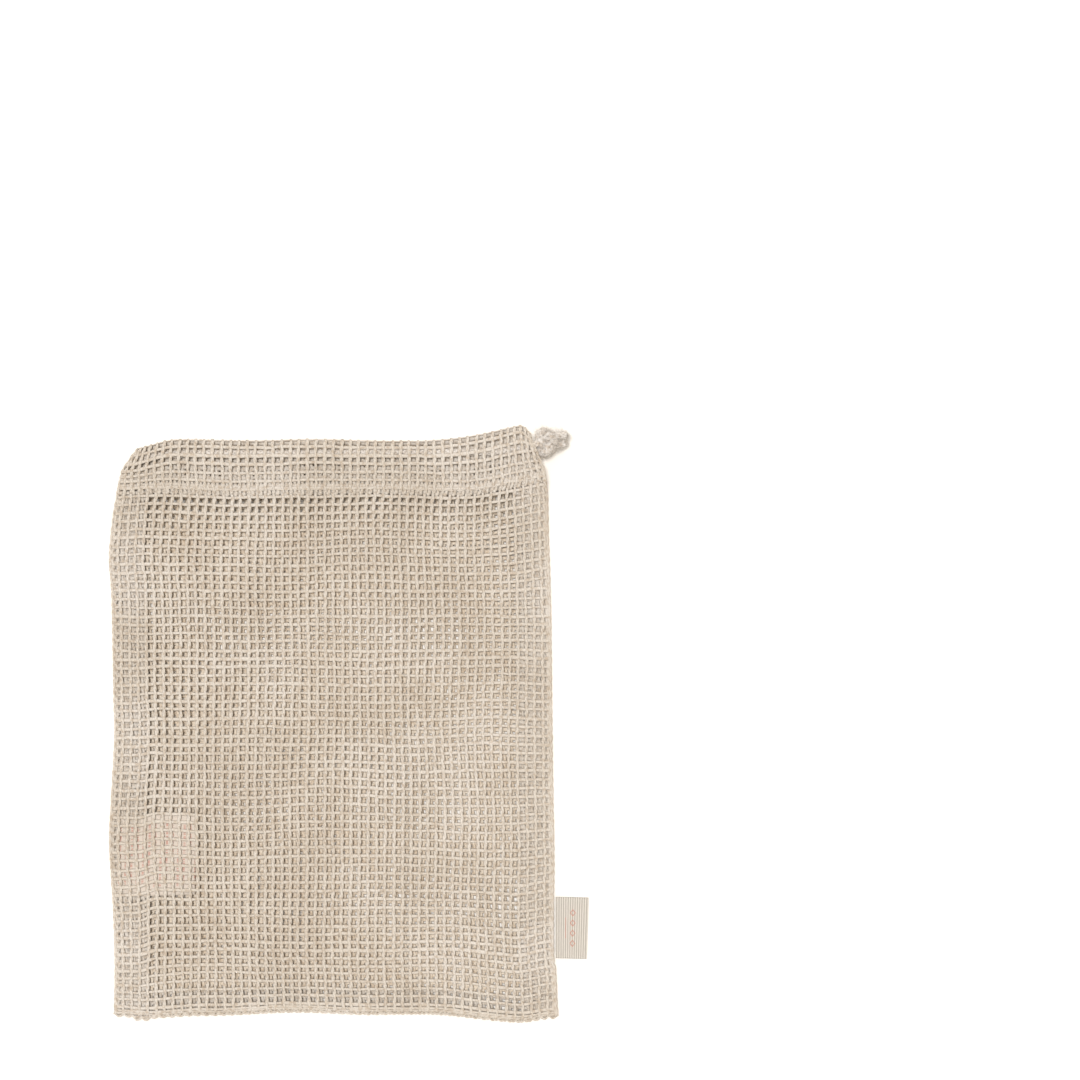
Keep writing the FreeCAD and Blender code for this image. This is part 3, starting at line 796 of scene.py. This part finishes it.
def studio_light(colour, strength):
    """Even light from all round."""
    world = bpy.data.worlds.new("studio")
    world.use_nodes = True
    background = world.node_tree.nodes["Background"]
    background.inputs["Color"].default_value = (*colour, 1.0)
    background.inputs["Strength"].default_value = strength
    bpy.context.scene.world = world


floor = swept_floor()
sun_light("overhead", (-0.09, 0.17, 1.9), 14.0, 2.77)
sun_light("key", (-0.35, 1.35, 1.5), 30.0, 0.23)
studio_light((1.0, 0.91, 0.80), 0.34)
bpy.context.scene.view_settings.view_transform = "Standard"


# ---- the net

THIRDS = (17.5, 34.5)  # a panel is cut into three, between these columns
TURN_COLUMNS = 3.0  # the columns that go round the left end of the hem
fold_s, foot_s = FRONT.strip.reach(FOLD), FRONT.strip.reach(FOOT)
back_fold_s, back_foot_s = BACK.strip.reach(FOLD), BACK.strip.reach(FOOT)
# The cut edge of the front is turned under once more, which makes the foot of its hem dense.
edge_net = Net(Under(0.7, aside=0.5), 601, FOLD_ROW_SHIFT + PITCH_Y / 2, hem_bulk=1.15)

# Each piece's name, its net, its first and last place across and along, and the CAD node it stands for.
pieces = [(f"{side}_net_{third}", net, u_low, u_high, s_low, s_high, f"{side}_panel")
          for side, net, s_low, s_high in (("front", front_net, fold_s, foot_s),
                                           ("back", back_net, back_fold_s, back_foot_s))
          for third, u_low, u_high in (("left", 0.0, THIRDS[0]), ("middle", *THIRDS),
                                       ("right", THIRDS[1], COLUMNS))]
front_end, back_end = FRONT.strip.length, BACK.strip.length
pieces += [
    ("bottom_fold_front", front_net, 0.0, COLUMNS, 0.0, fold_s, "bottom_fold"),
    ("bottom_fold_back", back_net, 0.0, COLUMNS, 0.0, back_fold_s, "bottom_fold"),
    ("front_hem", front_net, TURN_COLUMNS, COLUMNS, foot_s, FRONT.top_s, "front_casing"),
    ("front_hem_inside", front_net, TURN_COLUMNS, COLUMNS, FRONT.top_s, front_end, "front_casing"),
    ("front_hem_edge", edge_net, TURN_COLUMNS, COLUMNS - 1, FRONT.turn_s - 5.0, front_end, "front_casing"),
    ("back_hem", back_net, TURN_COLUMNS, COLUMNS, back_foot_s, back_end, "back_casing"),
    ("hem_turn_front", front_net, 0.0, TURN_COLUMNS, foot_s, front_end, "casing_left_turn"),
    ("hem_turn_back", back_net, 0.0, TURN_COLUMNS, back_foot_s, back_end, "casing_left_turn"),
]
cloth_pieces = {}
for name, net, u_low, u_high, s_low, s_high, node in pieces:
    # The back's panel and hem take the copy of the cotton painted paler and warmer, as painted light.
    cotton_here = PAINTED_LIGHT_BACK_COTTON if node in ("back_panel", "back_casing") else NET_COTTON
    piece = cloth_piece(name, net, u_low, u_high, s_low, s_high, cotton_here)
    cloth_pieces[name] = sewn(piece, node)


# ---- seams


def allowance(name, right, node, seed):
    """The net turned in along one side seam."""
    build = Build()
    allowance_yarns(build, right, fold_s + 0.5, foot_s - 0.5, seed)
    piece = sewn(build.mesh(name, NET_COTTON, flat_map=True), node)
    return piece


OVERLOCK_THREAD, STITCH_THREAD = 0.22, 0.21  # half of each thread's thickness
OVERLOCK_PITCH = 2.6
OVERLOCK_MIDDLE, OVERLOCK_REACH = 2.75, 1.15  # in cells from the side


def overlock(name, right, node):
    """Thread wound over the raw edge of an allowance, and two threads that run along it."""
    s = np.arange(fold_s + 0.7, foot_s - 0.7, 0.2)
    turn = 2 * math.pi * s / OVERLOCK_PITCH
    place = Under(1.6)

    def thread(reach, lift):
        u = np.broadcast_to(COLUMNS - reach if right else reach, s.shape)
        return place(u, s) + np.stack([0 * s, 0 * s, lift], -1)

    lines = [thread(OVERLOCK_MIDDLE + OVERLOCK_REACH * np.cos(turn), np.sin(turn))]
    for reach, lift in ((OVERLOCK_MIDDLE + 1.2, 0.0), (OVERLOCK_MIDDLE - OVERLOCK_REACH, 0.8)):
        lines.append(thread(reach, lift + 0.12 * np.sin(turn * 2 + reach)))
    build = Build()
    for line in lines:
        side, up = carried_frame(line)
        thick = np.full((1, len(s)), OVERLOCK_THREAD)
        build.tubes(line[None], side[None], up[None], thick, thick)
    return sewn(build.mesh(name, THREAD_COTTON), node)


def stitches(name, node, place, starts, step, lift):
    """A row of lockstitches: each a short thread that dips into the cloth at both ends."""
    t = np.linspace(0, 1, 7)
    lines = []
    for start in starts:
        u, s = start[0] + step[0] * t, start[1] + step[1] * t
        arch = lift + 0.5 * np.sin(math.pi * t) ** 0.6 - 0.3
        lines.append(place(u, s) + np.stack([0 * t, 0 * t, arch], -1))
    lines = np.array(lines)
    along = unit(np.gradient(lines, axis=1))
    up = np.broadcast_to((0.0, 0.0, 1.0), lines.shape)
    side = unit(np.cross(along, up))
    thick = np.full(lines.shape[:2], STITCH_THREAD)
    build = Build()
    build.tubes(lines, side, np.cross(side, along), thick, thick, flip=True)
    return sewn(build.mesh(name, THREAD_COTTON), node)


STITCH, STITCH_PITCH = 3.1, 4.0
SEAM_IN, HEM_IN = 0.8, 1.7  # the side seam's line in cells from the edge, and the hem's above its foot
run = np.arange(fold_s + 2.0, foot_s - 4.0, STITCH_PITCH)
across = np.arange(TURN_COLUMNS + 0.3, COLUMNS - 5.5, STITCH_PITCH / PITCH_X)
seam_place, up_the_bag, across_the_bag = Under(1.85), (0, STITCH), (STITCH / PITCH_X, 0)
small_pieces = [
    allowance("left_allowance_net", False, "left_seam_allowance", 301),
    allowance("right_allowance_net", True, "right_seam_allowance", 351),
    overlock("left_overlock_thread", False, "left_overlock"),
    overlock("right_overlock_thread", True, "right_overlock"),
    stitches("left_seam_thread", "left_seam_stitches", seam_place, [(SEAM_IN, s) for s in run],
             up_the_bag, 0.65),
    stitches("right_seam_thread", "right_seam_stitches", seam_place, [(COLUMNS - SEAM_IN, s) for s in run],
             up_the_bag, 0.65),
    stitches("front_hem_thread", "front_casing_stitches", FRONT, [(u, foot_s + HEM_IN) for u in across],
             across_the_bag, 0.65),
    stitches("back_hem_thread", "back_casing_stitches", BACK, [(u, back_foot_s + HEM_IN) for u in across],
             across_the_bag, 2.1),
]


# ---- labels

ROSE = srgb(190, 134, 116)


class LabelShader(Shader):
    """Cream ribbon. Its print is placed by the ribbon's own flat map, in millimetres."""

    def __init__(self, name, size):
        super().__init__(name)
        flat = self.node("ShaderNodeUVMap", uv_map="OFBake")
        scaled = self.node("ShaderNodeVectorMath", operation="MULTIPLY")
        self.feed(scaled.inputs[0], flat.outputs[0])
        self.feed(scaled.inputs[1], (*size, 1.0))
        split = self.node("ShaderNodeSeparateXYZ", Vector=scaled.outputs[0])
        self.u, self.v = split.outputs[0], split.outputs[1]

    def math(self, operation, a, b=0.0):
        node = self.node("ShaderNodeMath", operation=operation)
        for socket, value in zip(node.inputs, (a, b)):
            self.feed(socket, value)
        return node.outputs[0]

    def times(self, first, *others):
        for other in others:
            first = self.math("MULTIPLY", first, other)
        return first

    def near(self, value, middle, reach):
        """1 where value is within reach of middle, and 0 elsewhere."""
        return self.math("LESS_THAN", self.math("ABSOLUTE", self.math("SUBTRACT", value, middle)), reach)


def ribbon_mesh(name, points, normals, thickness, material):
    """A thin closed sheet from a grid of points; its flat map runs along the grid."""
    rows, cols = points.shape[:2]
    verts = np.concatenate([(points + normals * thickness / 2).reshape(-1, 3),
                            (points - normals * thickness / 2).reshape(-1, 3)])
    index = np.arange(rows * cols).reshape(rows, cols)
    top = np.stack([index[:-1, :-1], index[1:, :-1], index[1:, 1:], index[:-1, 1:]], -1).reshape(-1, 4)
    rim = np.concatenate([index[0, :-1], index[:-1, -1], index[-1, :0:-1], index[:0:-1, 0]])
    sides = np.stack([rim, np.roll(rim, -1), np.roll(rim, -1) + rows * cols, rim + rows * cols], -1)
    build = Build()
    build.add(verts, [top, top[:, ::-1] + rows * cols, sides])
    piece = build.mesh(name, material)
    grid = np.stack(np.meshgrid(np.linspace(0, 1, cols), np.linspace(0, 1, rows)), -1).reshape(-1, 2)
    grid = np.concatenate([grid, grid])
    layer = piece.data.uv_layers.new(name="OFBake")
    corners = np.empty(len(piece.data.loops), np.int32)
    piece.data.loops.foreach_get("vertex_index", corners)
    layer.data.foreach_set("uv", grid[corners].astype(np.float32).reshape(-1))
    return piece


DASH_COLUMN = 2.6  # from one printed line of dashes to the next


def care_satin(size):
    """Cream satin with lines of short printed dashes that say nothing."""
    shader = LabelShader("care_label_satin", size)
    column = shader.times(shader.u, 1 / DASH_COLUMN)
    place = shader.node("ShaderNodeCombineXYZ", X=shader.times(shader.math("FLOOR", column), 7.3),
                        Y=shader.times(shader.v, 2.1))
    noise = shader.node("ShaderNodeTexNoise", Vector=place.outputs[0], Scale=1.0, Detail=1.0)
    dash = shader.math("GREATER_THAN", noise.outputs[0], 0.47)
    line = shader.near(shader.math("FRACT", column), 0.5, 0.19)
    inner = shader.near(shader.v, size[1] / 2, size[1] / 2 - 4.0)
    printed = shader.times(dash, line, inner, 0.7)
    satin = shader.noise(0.25, 3.0, shader.stretched((0.15, 1.0, 1.0)))
    cream = shader.ramp(satin, [(0.3, srgb(206, 193, 177)), (0.7, srgb(216, 204, 190))])
    return shader.finish(shader.mix(printed, cream, ROSE), shader.between(satin, 0.42, 0.6), satin, 0.03,
                         sheen=0.1)


def care_sheet(low, high):
    """The care label's points and normals: it lies just under the front and follows its height."""
    x, y = np.meshgrid(np.linspace(low[0] + 0.4, high[0], 40), np.linspace(low[1], high[1], 40))
    stops = np.linspace(-100, 60, 9)
    s = np.interp(y, stops, [FRONT.strip.reach(stop) for stop in stops])
    above = FRONT((x + HALF_WIDTH) / PITCH_X, s)[..., 2]
    free_end = smooth((x - low[0] - 24.0) / 14.0)
    z = above - 1.08 - 0.12 * np.sin(x * 0.33 + 0.4) - 0.5 * free_end
    points = np.stack([x + 0.35 * np.sin(y * 0.11), y + 0.03 * (x - low[0]), z], -1)
    return points, unit(np.cross(np.gradient(points, axis=1), np.gradient(points, axis=0)))


# The care label hangs from the left seam inside the bag.
label_low, label_high = (corner - (CENTRE, 0, 0) for corner in node_box("care_label"))
care_size = label_high - label_low
care_label = ribbon_mesh("care_label_ribbon", *care_sheet(label_low, label_high), 0.22,
                         care_satin(care_size[:2]))
sewn(care_label, "care_label")
small_pieces.append(care_label)

RIB = 1.0  # from one rib of the side label to the next
DIAMOND_PITCH, DIAMOND_LONG, DIAMOND_WIDE = 4.5, 1.75, 1.35
LOOP_PAST = 1.2  # how far the side label's fold reaches past its CAD solid


def side_ribbon(length, width):
    """Ribbed cream ribbon, with painted shade in the grooves between its ribs, a row of four diamonds and a
    fine line beside it.
    """
    shader = LabelShader("side_label_ribbon", (length, width))
    shine = shader.noise(0.35, 4.0, shader.stretched((1.0, 0.2, 1.0)))
    cream = shader.ramp(shine, [(0.3, srgb(208, 202, 192)), (0.7, srgb(218, 213, 204))])
    # Painted shade: the grooves between the ribs are darkened towards srgb(170, 163, 152), in step with the
    # ribs of the loop's shape.
    rib_groove_shade = shader.math("COSINE", shader.times(shader.u, 2 * math.pi / RIB))
    cream = shader.mix(shader.between(rib_groove_shade, 1.0, 0.0, -0.9, 0.1), cream, srgb(170, 163, 152))
    row = length / 4 + 0.6
    along = shader.math("SUBTRACT", shader.math("FRACT", shader.times(shader.v, 1 / DIAMOND_PITCH)), 0.5)
    along = shader.math("ABSOLUTE", shader.times(along, DIAMOND_PITCH / DIAMOND_LONG))
    aside = shader.math("ABSOLUTE", shader.times(shader.math("SUBTRACT", shader.u, row), 1 / DIAMOND_WIDE))
    ring = shader.near(shader.math("ADD", along, aside), 0.78, 0.20)
    diamonds = shader.times(ring, shader.near(shader.v, width / 2, 2 * DIAMOND_PITCH))
    line = shader.times(shader.near(shader.u, row - 3.1, 0.16), shader.near(shader.v, width / 2, 4.6))
    motif = shader.times(shader.math("MAXIMUM", diamonds, line), 0.8)
    return shader.finish(shader.mix(motif, cream, ROSE), shader.between(shine, 0.5, 0.68), shine, 0.03,
                         sheen=0.15)


def side_loop(low, high, end):
    """The side label's points and normals: from the seam to its fold and back, ribbed, and a little askew."""
    low_z, high_z = low[2] + 0.16, high[2] - 0.10
    middle_z, bend = (low_z + high_z) / 2, (high_z - low_z) / 2
    turn = np.linspace(math.pi / 2, -math.pi / 2, 13)[1:-1]
    straight = np.linspace(low[0] + 0.05, end - bend, 170)
    x = np.concatenate([straight, end - bend + bend * np.cos(turn), straight[::-1]])
    z = np.concatenate([0 * straight + high_z, middle_z + bend * np.sin(turn), 0 * straight + low_z])
    rib = 0.15 * np.cos((x - straight[0]) / RIB * 2 * math.pi)
    pinch = 0.32 * (1 - smooth((x - straight[0]) / 3.0)) * np.sign(z - middle_z)
    tangent = unit(np.gradient(np.stack([x, z], -1), axis=0))
    out_x, out_z = -tangent[:, 1], tangent[:, 0]
    y = np.linspace(low[1], high[1], 46)[:, None]
    points = np.stack(np.broadcast_arrays(x + out_x * rib, y, z + out_z * rib - pinch), -1).copy()
    outer = (points[..., 0] - low[0]) / (end - low[0])
    points[..., 0] += 0.030 * (points[..., 1] - (low[1] + high[1]) / 2) * outer
    points[..., 1] -= 0.35 * outer
    points[..., 2] += 0.12 * np.sin(points[..., 1] * 0.21) * outer
    return points, np.broadcast_to(np.stack([out_x, 0 * out_x, out_z], -1), points.shape)


# The side label is a loop of ribbed ribbon whose two ends go into the right seam.
label_low, label_high = (corner - (CENTRE, 0, 0) for corner in node_box("side_label"))
loop_end = label_high[0] + LOOP_PAST
loop_length = 2 * (loop_end - label_low[0])
side_label = ribbon_mesh("side_label_loop", *side_loop(label_low, label_high, loop_end), 0.26,
                         side_ribbon(loop_length, label_high[1] - label_low[1]))
sewn(side_label, "side_label")
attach(side_label, "side_label")


# ---- the pieces' transforms, and the cord's pieces on one body

# Pulling the cord draws the hem's left corner to the knot.
for piece in [*cloth_pieces.values(), *small_pieces]:
    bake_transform(piece)

for piece, node in ((knot, "drawstring_knot"), (upper_tail, "drawstring_upper_tail"),
                    (lower_tail, "drawstring_lower_tail")):
    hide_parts(node)
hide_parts("drawstring_front_run", "drawstring_bight", "drawstring_back_run")
for piece in (drawstring, knot, upper_tail, lower_tail, cord_fuzz):
    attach(piece, "drawstring")
